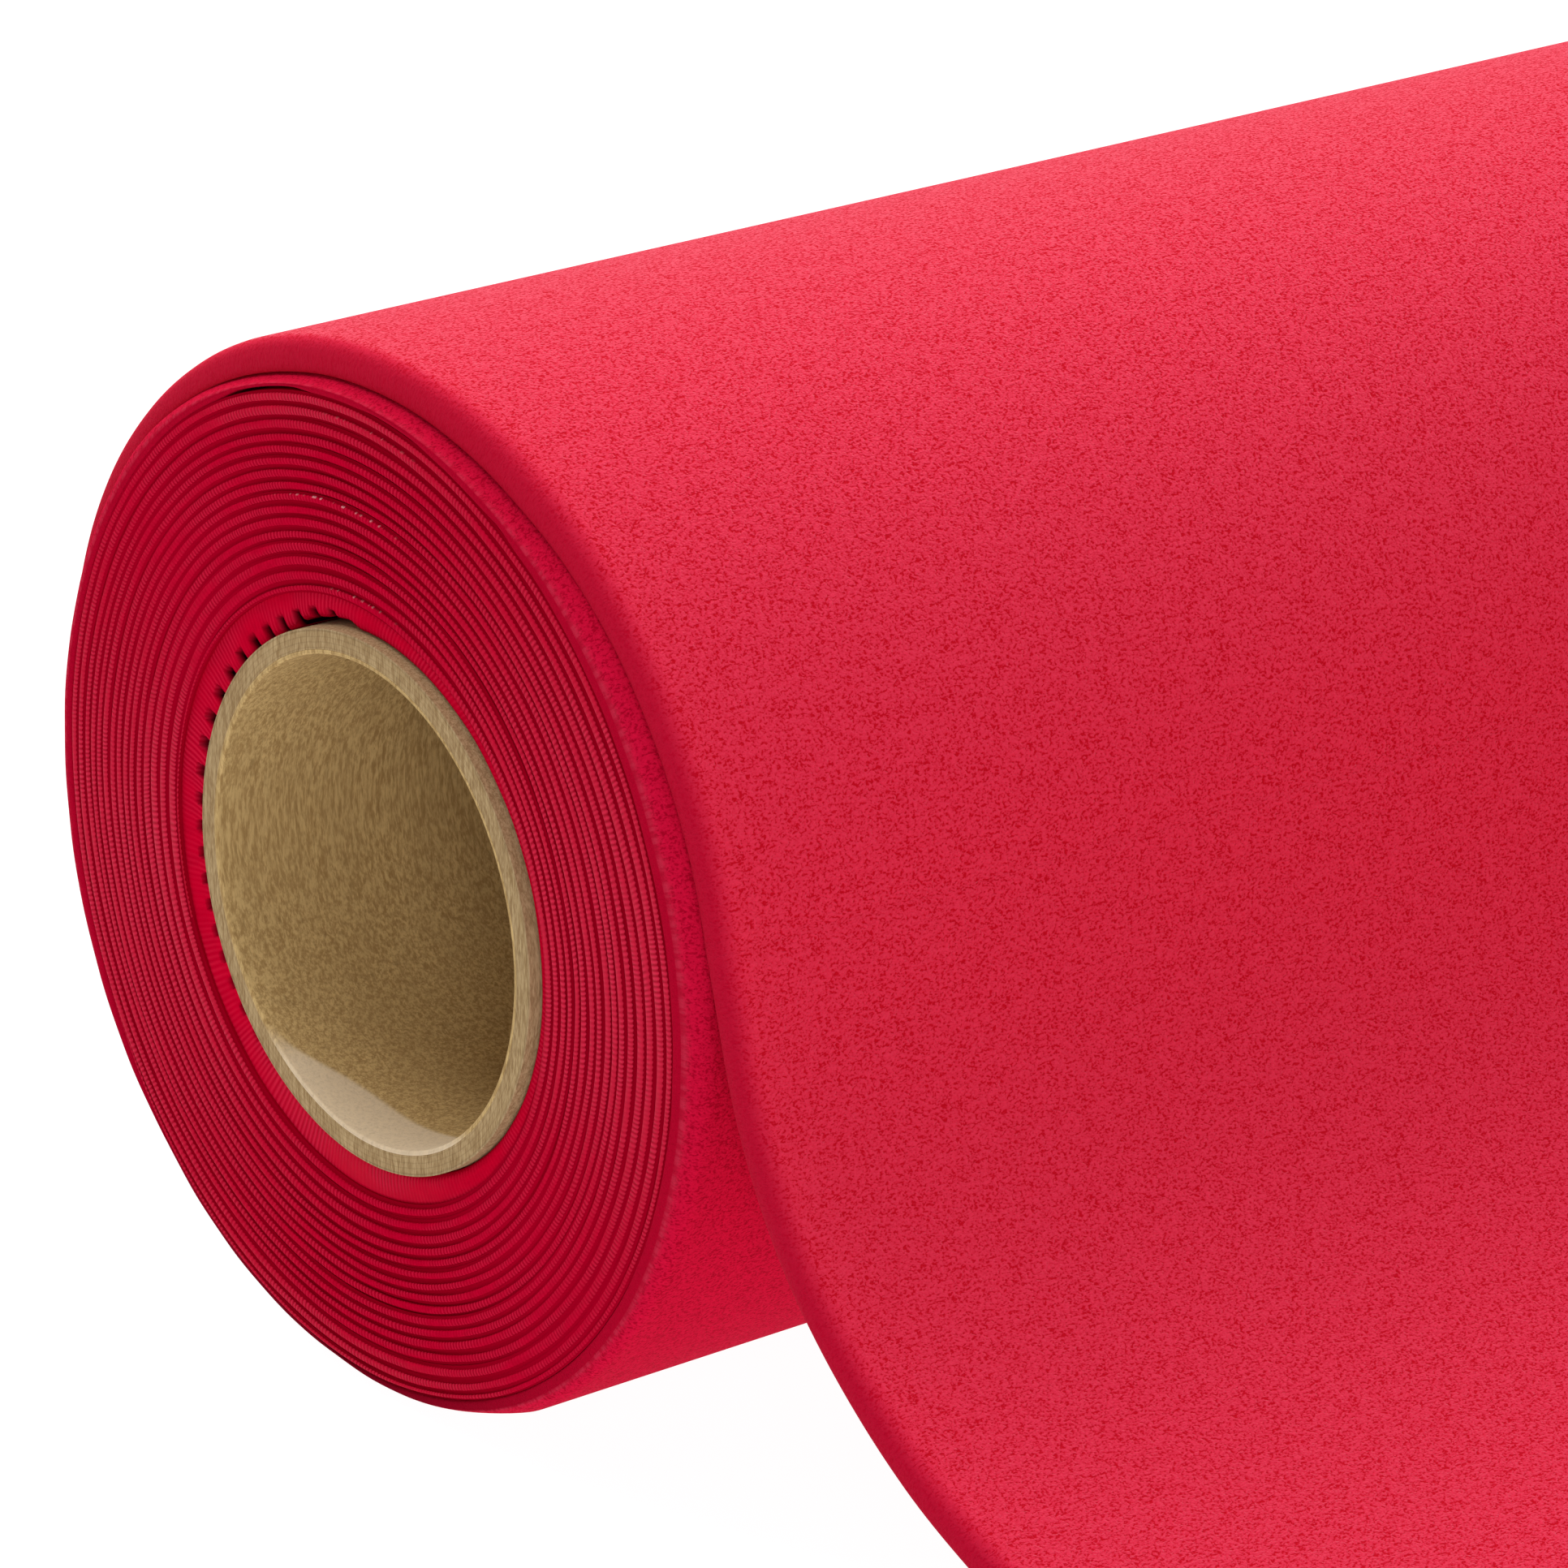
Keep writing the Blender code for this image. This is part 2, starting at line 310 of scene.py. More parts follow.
def felt(name, bright, dark, mark=0.55, edge=None, line=None, bloom=0.38,
         gloss=0.08):
    """The sheet: needled felt of fine fibres, with worm-like darker marks
    between the tufts and a faint bloom on the tufts. The marks are 0.2 to
    0.4 mm across."""
    n = Nodes(name)
    uv = n.uv()
    w1 = n.noise(n.scaled(uv, (1900.0, 2600.0, 1.0)), 1.0, 2.0, 0.55, 0.6)
    w2 = n.noise(n.scaled(uv, (3000.0, 3900.0, 1.0), (7, 3, 0)), 1.0, 1.0,
                 0.6, 0.3)
    w3 = n.noise(n.scaled(uv, (420.0, 520.0, 1.0), (2, 9, 0)), 1.0, 2.0,
                 0.5, 0.0)
    pits = n.math("ADD", n.math("MULTIPLY", w1, 0.62),
                  n.math("MULTIPLY", w2, 0.38))
    pits = n.math("ADD", pits, n.math("MULTIPLY",
                                      n.math("SUBTRACT", w3, 0.5), 0.14))
    dark_mask = n.ramp(pits, 0.485, 0.41)
    tuft_mask = n.ramp(pits, 0.49, 0.62)
    cloud = n.noise(n.scaled(uv, (16.0, 16.0, 1.0), (3, 3, 0)), 1.0, 3.0, 0.5)
    mid = tuple((b * 0.72 + d * 0.28) for b, d in zip(bright, dark))
    colour = n.mix(n.math("MULTIPLY", dark_mask, mark), mid, dark)
    colour = n.mix(n.math("MULTIPLY", tuft_mask, 0.8), colour, bright)
    colour = n.mix(n.ramp(cloud, 0.3, 0.7, 0.0, 0.05, False), colour,
                   tuple(0.85 * c for c in mid))
    if edge is not None:
        # the cut edges take a darker colour, partly the cut felt's own tone and
        # partly painted shade for side faces turned away from the light; under
        # the outer turn the edge gets more painted shade
        side = n.ramp(n.attribute("side"), 0.0, 0.75)
        colour = n.mix(n.math("MULTIPLY", side, 0.88), colour, edge)
        colour = n.mix(n.math("MULTIPLY", n.attribute("painted_shade_below"), 0.85), colour,
                       srgb(104, 0, 20))
    if line is not None:
        # painted highlight: a fine pale line, broken into dashes, where the cut
        # edge meets the face
        arc = n.add("ShaderNodeSeparateXYZ")
        n.put(arc.inputs[0], uv)
        dash = n.noise(n.math("MULTIPLY", arc.outputs[1], 700.0), 1.0, 2.0,
                       0.6, dims="1D")
        rim = n.math("MULTIPLY", n.attribute("rim"),
                     n.ramp(dash, 0.40, 0.60, 0.25, 1.0))
        colour = n.mix(n.math("MULTIPLY", rim, 0.6), colour, line)
    n.set(Base_Color=colour, Roughness=0.92)
    n.set(Specular_IOR_Level=gloss)
    sheen = n.ramp(pits, 0.43, 0.55, 0.04 * bloom, bloom, False)
    if edge is not None:
        sheen = n.math("MULTIPLY", sheen, n.ramp(side, 0.0, 0.5, 1.0, 0.0))
    n.set(Sheen_Weight=sheen)
    n.set(Sheen_Roughness=0.42)
    n.put(n.bsdf.inputs["Sheen Tint"], (1.0, 0.78, 0.82))
    height = n.math("ADD", pits, n.math("MULTIPLY", w2, 0.3))
    n.set(Normal=n.bump(height, 0.00021, 1.0))
    return n.mat


def wound_edges(name, bead, groove, pale, painted_highlight_pink):
    """The cut edges of the wound turns: fused, slightly glossy beads with fine
    teeth across them, and duller grooves between. The grooves' darker colour
    is partly their duller felt and partly painted shade in the recess, and
    the beads are painted pinker as a highlight at the front and back."""
    n = Nodes(name)
    uv = n.add("ShaderNodeSeparateXYZ")
    n.put(uv.inputs[0], n.uv())
    along, across = uv.outputs[0], uv.outputs[1]
    ridge = n.attribute("ridge")          # 1 on the bead, 0 in the groove
    glint = n.attribute("glint")
    calm = n.attribute("calm")            # upper left and lower right: less painted groove shade
    notch = n.attribute("notch")
    flank = n.attribute("flank")          # the front and the back of the face
    # the teeth, about half a millimetre apart, slanting a little
    drift = n.noise(n.math("MULTIPLY", along, 60.0), 1.0, 2.0, 0.5, dims="1D")
    phase = n.math("ADD", n.math("MULTIPLY", along, 2 * math.pi / 0.00060),
                   n.math("MULTIPLY", drift, 22.0))
    slant = n.noise(n.math("MULTIPLY", along, 14.0), 1.0, 1.0, 0.5, dims="1D")
    phase = n.math("ADD", phase, n.math(
        "MULTIPLY", across, n.math("MULTIPLY",
                                   n.math("SUBTRACT", slant, 0.35), 9000.0)))
    teeth = n.math("MULTIPLY_ADD", n.math("SINE", phase), 0.5, 0.5)
    patch = n.noise(n.scaled(n.uv(), (90.0, 300.0, 1.0)), 1.0, 2.0, 0.5)
    patch = n.ramp(patch, 0.36, 0.62)
    on = n.math("MULTIPLY", teeth, n.math("MULTIPLY_ADD", patch, 0.85, 0.15))
    edge = n.math("ADD", ridge, n.math("MULTIPLY",
                                       n.math("SUBTRACT", teeth, 0.5), 0.34))
    on_bead = n.ramp(edge, 0.38, 0.62)
    mottle = n.noise(n.scaled(n.uv(), (700.0, 1500.0, 1.0)), 1.0, 3.0, 0.55)
    bead_dark = tuple(0.66 * b + 0.34 * g for b, g in zip(bead, groove))
    bead_col = n.mix(n.ramp(mottle, 0.35, 0.65), bead_dark, bead)
    # painted highlight: the beads turn pinker at the front and the back of the
    # face
    bead_col = n.mix(n.math("MULTIPLY", flank, 0.6), bead_col, painted_highlight_pink)
    gap = n.math("MULTIPLY", n.math("SUBTRACT", 1.0, teeth),
                 n.math("MULTIPLY_ADD", patch, 0.55, 0.12))
    bead_col = n.mix(gap, bead_col, groove)
    # the teeth are painted paler: real teeth, with a painted highlight on them
    # that is stronger at the front and the back of the face
    tick = n.math("MULTIPLY", on, n.math("MULTIPLY_ADD", flank, 0.48, 0.44))
    bead_col = n.mix(tick, bead_col, srgb(222, 40, 74))
    # less painted shade in the grooves where calm is high
    low = n.mix(n.math("MULTIPLY", calm, 0.6), groove, bead_dark)
    colour = n.mix(on_bead, low, bead_col)
    # painted shade: near black in the deep notches
    colour = n.mix(notch, colour, srgb(22, 0, 5))
    # painted glints: pale dashes on the shoulders that glint marks
    spark = n.noise(n.math("MULTIPLY", along, 900.0), 1.0, 2.0, 0.6, dims="1D")
    spark = n.math("MULTIPLY", n.ramp(spark, 0.56, 0.64), glint)
    colour = n.mix(n.math("MULTIPLY", spark, 0.8), colour, pale)
    n.set(Base_Color=colour)
    n.set(Roughness=n.ramp(on_bead, 0.0, 1.0, 0.75, 0.42, False))
    n.set(Specular_IOR_Level=n.math("MULTIPLY", n.math("MULTIPLY", on_bead,
                                                       flank), 0.03))
    height = n.math("MULTIPLY", n.math("ADD", n.math("MULTIPLY", on, 1.0),
                                       n.math("MULTIPLY", mottle, 0.8)),
                    n.math("MULTIPLY_ADD", on_bead, 0.8, 0.2))
    n.set(Normal=n.bump(height, 0.00013, 0.8))
    return n.mat


def kraft(name, light, mid, dark, streak=(2600.0, 2600.0, 420.0), ply=None,
          depth=0.00007, painted_light_colour=None):
    """Grey-brown board: pulp fibres that run the same way, flecks of darker
    bark and paler pulp."""
    n = Nodes(name)
    co = n.coords()
    f1 = n.noise(n.scaled(co, streak), 1.0, 4.0, 0.6, 0.35)
    f2 = n.noise(n.scaled(co, tuple(2.4 * s for s in streak), (4, 1, 2)), 1.0,
                 2.0, 0.6, 0.2)
    f3 = n.noise(n.scaled(co, tuple(0.16 * s for s in streak), (1, 7, 5)), 1.0,
                 3.0, 0.5, 0.0)
    fibre = n.math("ADD", n.math("MULTIPLY", f1, 0.6),
                   n.math("MULTIPLY", f2, 0.4))
    colour = n.mix(n.ramp(fibre, 0.38, 0.62), dark, light)
    colour = n.mix(0.15, colour, mid)
    fleck = n.noise(n.scaled(co, tuple(0.55 * s for s in streak), (9, 2, 8)),
                    1.0, 2.0, 0.5, 0.6)
    colour = n.mix(n.ramp(fleck, 0.64, 0.74, 0.0, 0.30), colour,
                   tuple(0.55 * c for c in dark))
    colour = n.mix(n.ramp(f3, 0.35, 0.65, 0.0, 0.22, False), colour,
                   tuple(0.8 * c for c in mid))
    if ply is not None:
        # the cut ends show the plies as faint darker rings
        sep = n.add("ShaderNodeSeparateXYZ")
        n.put(sep.inputs[0], co)
        r = n.math("SQRT", n.math(
            "ADD", n.math("MULTIPLY", sep.outputs[1], sep.outputs[1]),
            n.math("MULTIPLY", sep.outputs[2], sep.outputs[2])))
        wob = n.math("MULTIPLY", n.math("SUBTRACT", f3, 0.5), 0.00025)
        ring = n.math("SINE", n.math("MULTIPLY", n.math("ADD", r, wob),
                                     2 * math.pi / ply))
        colour = n.mix(n.ramp(ring, 0.55, 1.0, 0.0, 0.22), colour,
                       tuple(0.55 * c for c in dark))
    if painted_light_colour is not None:
        # painted light: a pale pool on the lower inside of the bore, just
        # within its open end, where light comes in
        sep = n.add("ShaderNodeSeparateXYZ")
        n.put(sep.inputs[0], co)
        deep = n.math("SUBTRACT", HALF_W, n.math("ABSOLUTE", sep.outputs[0]))
        low = n.math("MULTIPLY", sep.outputs[2], -1.0)
        reach = n.math("SUBTRACT", n.ramp(low, 0.0215, 0.0285, 0.0, 0.0060),
                       deep)
        painted_light_mask = n.math("MULTIPLY", n.ramp(reach, -0.0004, 0.0006, 0.0, 0.7),
                     n.ramp(low, 0.0205, 0.0245))
        colour = n.mix(n.math("MULTIPLY", painted_light_mask, n.ramp(fibre, 0.2, 0.5, 0.6,
                                                      1.0)), colour, painted_light_colour)
    n.set(Base_Color=colour, Roughness=0.88)
    n.set(Specular_IOR_Level=0.2)
    n.set(Normal=n.bump(n.math("ADD", fibre, n.math("MULTIPLY", fleck, 0.3)),
                        depth, 0.8))
    return n.mat


RED_BRIGHT = srgb(235, 46, 80)
RED_DARK = srgb(196, 0, 26)
# the fourth colour is the cut edges': partly their own tone, partly painted
# shade
MAT_FELT = felt("felt_red", RED_BRIGHT, RED_DARK, 0.95, srgb(182, 0, 42))
# the tight outer turn's felt: the same felt as the loose sheet, painted darker
# as a shaded copy, with painted shade on its edge and a painted highlight line
# on its corner
MAT_FELT_SHADED = felt("felt_red_wound_shaded", srgb(214, 16, 60), srgb(160, 0, 32),
                    0.8, srgb(174, 0, 38), srgb(206, 50, 78), bloom=0.0,
                    gloss=0.02)
MAT_EDGES = wound_edges("fused_edges", srgb(194, 0, 44), srgb(152, 0, 28),
                        srgb(250, 190, 196), srgb(212, 38, 68))
MAT_RUFFLE = wound_edges("inner_edge", srgb(204, 0, 42), srgb(176, 0, 36),
                         srgb(250, 190, 196), srgb(206, 16, 52))
MAT_BOARD = kraft("core_board", srgb(190, 163, 120), srgb(172, 142, 100),
                  srgb(140, 110, 70), ply=0.00062)
# the liner's colours are paler than the board's: partly the liner's own paler
# kraft and partly painted light for the inside of the bore
MAT_LINER = kraft("core_liner", srgb(216, 184, 126), srgb(196, 162, 108),
                  srgb(160, 126, 76), streak=(1900.0, 1900.0, 330.0),
                  painted_light_colour=srgb(232, 212, 184))
MAT_SKIN = kraft("core_skin", srgb(186, 160, 120), srgb(168, 140, 102),
                 srgb(138, 110, 74))


def tape_material():
    n = Nodes("crepe_tape")
    co = n.coords()
    crepe = n.noise(n.scaled(co, (260.0, 2600.0, 2600.0)), 1.0, 3.0, 0.6, 0.3)
    colour = n.mix(n.ramp(crepe, 0.3, 0.7), srgb(206, 194, 160),
                   srgb(228, 218, 190))
    n.set(Base_Color=colour, Roughness=0.6)
    n.set(Normal=n.bump(crepe, 0.00008, 0.7))
    return n.mat


# -------------------------------------------------------------------- the stage
WORLD_LEFT = 0.12
WORLD_RIGHT = 0.63


def stage():
    mesh = bpy.data.meshes.new("stage_floor")
    s = 6.0
    z = FLOOR_Z - 0.0002
    mesh.from_pydata([(-s, -s, z), (s, -s, z), (s, s, z), (-s, s, z)], [],
                     [(0, 1, 2, 3)])
    ob = bpy.data.objects.new("stage_floor", mesh)
    bpy.context.scene.collection.objects.link(ob)
    n = Nodes("white_floor")
    n.set(Base_Color=(0.15, 0.15, 0.15), Roughness=0.95)
    n.set(Specular_IOR_Level=0.0)
    n.put(n.bsdf.inputs["Emission Color"], (1.0, 1.0, 1.0))
    n.put(n.bsdf.inputs["Emission Strength"], 0.97)
    mesh.materials.append(n.mat)


def area_light(name, place, target, size, energy, colour=(1, 1, 1)):
    data = bpy.data.lights.new(name, "AREA")
    data.shape = "RECTANGLE"
    data.size, data.size_y = size
    data.energy = energy
    data.color = colour
    ob = bpy.data.objects.new(name, data)
    ob.location = place
    way = Vector(target) - Vector(place)
    ob.rotation_euler = way.to_track_quat("-Z", "Y").to_euler()
    bpy.context.scene.collection.objects.link(ob)
    return ob


def lights():
    # a white studio that falls off to the left of the roll
    world = bpy.data.worlds.new("white_studio")
    world.use_nodes = True
    tree = world.node_tree
    bg = tree.nodes["Background"]
    way = tree.nodes.new("ShaderNodeTexCoord")
    sep = tree.nodes.new("ShaderNodeSeparateXYZ")
    tree.links.new(way.outputs["Generated"], sep.inputs[0])
    fall = tree.nodes.new("ShaderNodeMapRange")
    fall.interpolation_type = "SMOOTHSTEP"
    fall.inputs["From Min"].default_value = -1.0
    fall.inputs["From Max"].default_value = 0.1
    fall.inputs["To Min"].default_value = WORLD_LEFT
    fall.inputs["To Max"].default_value = WORLD_RIGHT
    tree.links.new(sep.outputs[0], fall.inputs["Value"])
    tree.links.new(fall.outputs["Result"], bg.inputs[1])
    bg.inputs[0].default_value = (1.0, 1.0, 1.0, 1.0)
    bpy.context.scene.world = world
    area_light("overhead_softbox", (-0.45, 1.15, 1.95), (-0.3, 0.0, 0.0),
               (2.6, 1.6), 56.0)
    area_light("left_fill", (-2.1, -1.9, 0.9), (-0.6, 0.0, 0.0),
               (0.9, 0.9), 14.0)


def camera():
    data = bpy.data.cameras.new("view")
    data.sensor_width = 36.0
    data.lens = 186.335
    data.clip_start = 0.01
    data.clip_end = 50.0
    ob = bpy.data.objects.new("view", data)
    right = Vector((0.78568, -0.61863, 0.0))
    up = Vector((0.21806, 0.27694, 0.93582))
    back = Vector((-0.57893, -0.73526, 0.35248))
    place = Vector((LOW[0], 0.0, 0.0)) + Vector((-0.4861, -0.69239, 0.33222))
    ob.matrix_world = Matrix(((right.x, up.x, back.x, place.x),
                              (right.y, up.y, back.y, place.y),
                              (right.z, up.z, back.z, place.z),
                              (0, 0, 0, 1)))
    bpy.context.scene.collection.objects.link(ob)
    bpy.context.scene.camera = ob


# ------------------------------------------------------------- the loose sheet
def on_pack(deg, radius):
    a = np.radians(deg)
    return np.stack([PACK_Y - radius * np.cos(a),
                     PACK_Z + radius * np.sin(a)], -1)


def wrap_inner(deg):
    back_to_top = smooth((150.0 - deg) / 60.0)
    top_to_front = smooth((90.0 - deg) / (90.0 - WRAP_FROM_DEG))
    r = (WRAP_IN_BACK + (WRAP_IN_TOP - WRAP_IN_BACK) * back_to_top
         + (WRAP_IN_FRONT - WRAP_IN_TOP) * top_to_front)
    # underneath, the sheet runs in under itself and becomes the wound turn
    return r - (GAP + 0.00025) * smooth((deg - 215.0) / 26.0)


def wrap_thick(deg):
    t = (SHEET - 0.0005 * smooth((deg - 58.0) / 30.0)
         + 0.0001 * smooth((deg - 120.0) / 20.0)
         - 0.0003 * bump_at(deg, 112.0, 36.0)
         - WRAP_THIN_BACK * smooth((deg - 140.0) / 52.0))
    end = smooth((deg - 190.0) / 52.0)
    return t + (0.00032 - t) * end


def sheet_path():
    """Stations of the loose sheet, from where it joins the wound turns to its
    free end: the place of the lower face, the way out of it and the
    thickness."""
    deg = np.linspace(WRAP_TO_DEG + 3.0, WRAP_FROM_DEG, 210)
    wrap = on_pack(deg, wrap_inner(deg))
    thick = wrap_thick(deg)
    lean = math.radians(LEAVE_LEAN_DEG)
    p0 = wrap[-1]
    p1 = p0 + DROP_HANDLE * np.array([-math.sin(lean), -math.cos(lean)])
    p3 = np.array([TOUCH_Y, FLOOR_Z])
    p2 = p3 + np.array([LAND_HANDLE, 0.0])
    t = np.linspace(0, 1, 130)[1:, None]
    sweep = ((1 - t) ** 3 * p0 + 3 * (1 - t) ** 2 * t * p1
             + 3 * (1 - t) * t * t * p2 + t ** 3 * p3)
    y = np.concatenate([np.linspace(TOUCH_Y, FREE_Y + 0.004, 60)[1:],
                        FREE_Y + 0.004 - 0.004 * np.array([0.35, 0.65, 1.0])])
    lead = np.stack([y, np.full_like(y, FLOOR_Z)], -1)
    line = np.concatenate([wrap, sweep, lead])
    thick = np.concatenate([thick, np.full(len(sweep) + len(lead), SHEET)])
    step = np.gradient(line, axis=0)
    step /= np.linalg.norm(step, axis=1, keepdims=True)
    normal = np.stack([step[:, 1], -step[:, 0]], -1)
    # out of the roll: the way out from the pack's axis
    if np.dot(normal[100], line[100] - np.array([PACK_Y, PACK_Z])) < 0:
        normal = -normal
    along = np.concatenate([[0], np.cumsum(np.linalg.norm(
        np.diff(line, axis=0), axis=1))])
    return line, normal, thick, along


def felt_section(half, t, r_top, r_low, columns):
    """(x, n, side) round the cross-section of the sheet, from the middle of
    the lower face round the left edge, over the top and back."""
    f = min(1.0, 0.92 * t / (r_top + r_low))
    r_top, r_low = r_top * f, r_low * f
    pts = []
    inner = [c for c in columns if c < half - r_top - 1e-4]
    for c in inner:                                   # lower face, to the left
        pts.append((-c, 0.0, 0.0))
    for i in range(0, 4):                             # lower left corner
        a = math.pi / 2 * i / 3
        pts.append((-half + r_low - r_low * math.sin(a),
                    r_low - r_low * math.cos(a), 0.3 + 0.7 * i / 3))
    for i in range(0, 8):                             # upper left corner
        a = math.pi / 2 * i / 7
        pts.append((-half + r_top - r_top * math.cos(a),
                    t - r_top + r_top * math.sin(a), 1.0 - i / 7))
    for c in reversed(inner):
        pts.append((-c, t, 0.0))
    for c in inner[1:]:
        pts.append((c, t, 0.0))
    for i in range(7, -1, -1):
        a = math.pi / 2 * i / 7
        pts.append((half - r_top + r_top * math.cos(a),
                    t - r_top + r_top * math.sin(a), 1.0 - i / 7))
    for i in range(3, -1, -1):
        a = math.pi / 2 * i / 3
        pts.append((half - r_low + r_low * math.sin(a),
                    r_low - r_low * math.cos(a), 0.3 + 0.7 * i / 3))
    for c in reversed(inner[1:]):
        pts.append((c, 0.0, 0.0))
    return np.array(pts)


def lip_droop(deg):
    """How far the loose turn's left and right edges sag over the pinched rim
    of the wound turns."""
    return 0.0013 * smooth((deg - 38.0) / 34.0) * smooth((138.0 - deg) / 36.0)


def felt_sheet():
    line, normal, thick, along = sheet_path()
    around_pack = np.degrees(np.arctan2(line[:, 1] - PACK_Z,
                                        PACK_Y - line[:, 0]))
    around_pack[260:] = 0.0
    droop = lip_droop(around_pack)
    columns = [0.0, 0.06, 0.13, 0.2, 0.28, 0.36, 0.44, 0.51, 0.57, 0.612,
               0.638, 0.652, 0.661, 0.667, 0.6705]
    length = along[-1]
    rings, uvs, sides = [], [], []
    wob_l = 0.00028 * wander(along, 0.030, 3) + 0.0004 * wander(along, 0.16, 4)
    wob_r = 0.00028 * wander(along, 0.030, 5) + 0.0004 * wander(along, 0.16, 6)
    # a little unevenness of the felt's face, and where it stands off the roll
    for i, s in enumerate(along):
        t = thick[i]
        near_end = smooth((length - s) / 0.004)
        t_end = t * (0.55 + 0.45 * near_end)          # rounded free end
        sec = felt_section(HALF_W, t_end, 0.0027, 0.0006, columns)
        x, h, side = sec[:, 0].copy(), sec[:, 1].copy(), sec[:, 2]
        x += np.where(x < 0, wob_l[i], wob_r[i]) * smooth(np.abs(x) / HALF_W)
        h0 = (t - t_end) / 2
        h = h + h0
        top = sec[:, 1] > t_end * 0.5
        soft = 0.00012 * np.sin(x * 23.0 + 2.1 * math.sin(s * 9)) \
            * math.sin(s * 31.0 + 1.3)
        h = h + np.where(top, soft, 0.0) * min(1.0, t / SHEET)
        rim = np.clip(1 - (HALF_W - np.abs(sec[:, 0])) / 0.0045, 0, 1)
        h = h - droop[i] * rim * smooth(1 - sec[:, 1] / (0.7 * t_end))
        p = line[i][None, :] + h[:, None] * normal[i][None, :]
        rings.append(np.stack([x + SHIFT, p[:, 0], p[:, 1]], -1))
        d = np.concatenate([[0], np.cumsum(np.hypot(
            np.diff(sec[:, 0]), np.diff(sec[:, 1])))])
        uvs.append(np.stack([d, np.full(len(d), s)], -1))
        sides.append(side)
    rings = np.array(rings)
    uvs = np.array(uvs)
    # the seam of the texture lies in the middle of the lower face
    last = uvs[:, -1:, :].copy()
    last[..., 0] += columns[1]
    uvs = np.concatenate([uvs, last], 1)
    ob = loft("felt_sheet", rings, uvs, {"side": np.array(sides)},
              mats=[MAT_FELT])
    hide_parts("loose_wrap", "sheet_sweep", "floor_run")
    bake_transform(ob)
    return ob


# ------------------------------------------------------------- the wound sheet
TURNS = 16.02
START_DEG = 200.0
LEAN_DEG = 190.0                 # the turns crowd to the front of the core
START_TAPER = 0.45


def turn_mean(turn):
    t = turn - 0.28
    return 0.001 * (35.25 + 1.36 * t + 0.95 * (1 - np.exp(-np.maximum(
        t, -0.3) / 1.6)) + 0.75 * smooth((t - 11.5) / 4.0))


def turn_lean(turn):
    t = turn - 0.28
    return 0.001 * (2.34 + 1.2 * smooth(t / 5.0)
                    - 0.95 * smooth((t - 10.0) / 5.5))


def turn_radius(turn):
    """Distance of the sheet's middle from the core's axis."""
    phi = np.radians(START_DEG - 360.0 * turn)
    return turn_mean(turn) + turn_lean(turn) * np.cos(
        phi - math.radians(LEAN_DEG))


def share_left(turn):
    """How much of its thickness a turn keeps: the last one is pinched
    underneath, and runs out at the back."""
    return ((1 - 0.52 * smooth((turn - 15.42) / 0.45))
            * (1 - 0.97 * smooth((turn - 15.88) / 0.14)))


def wound_rim(phi):
    """Where the wound turns end, as a distance from the pack's axis."""
    turn = TURNS - np.linspace(0, 1, 721)
    r = turn_radius(turn)
    inner_half = (r - turn_radius(turn - 1)) / 2
    outer_half = (turn_radius(turn + 1) - r) / 2
    edge = r - inner_half + share_left(turn) * (inner_half + outer_half)
    a = math.radians(START_DEG) - turn * 2 * math.pi
    y = -edge * np.cos(a) - PACK_Y
    z = edge * np.sin(a) - PACK_Z
    about = np.arctan2(z, -y) % (2 * math.pi)
    order = np.argsort(about)
    return np.interp(phi % (2 * math.pi), about[order],
                     np.hypot(y, z)[order], period=2 * math.pi)


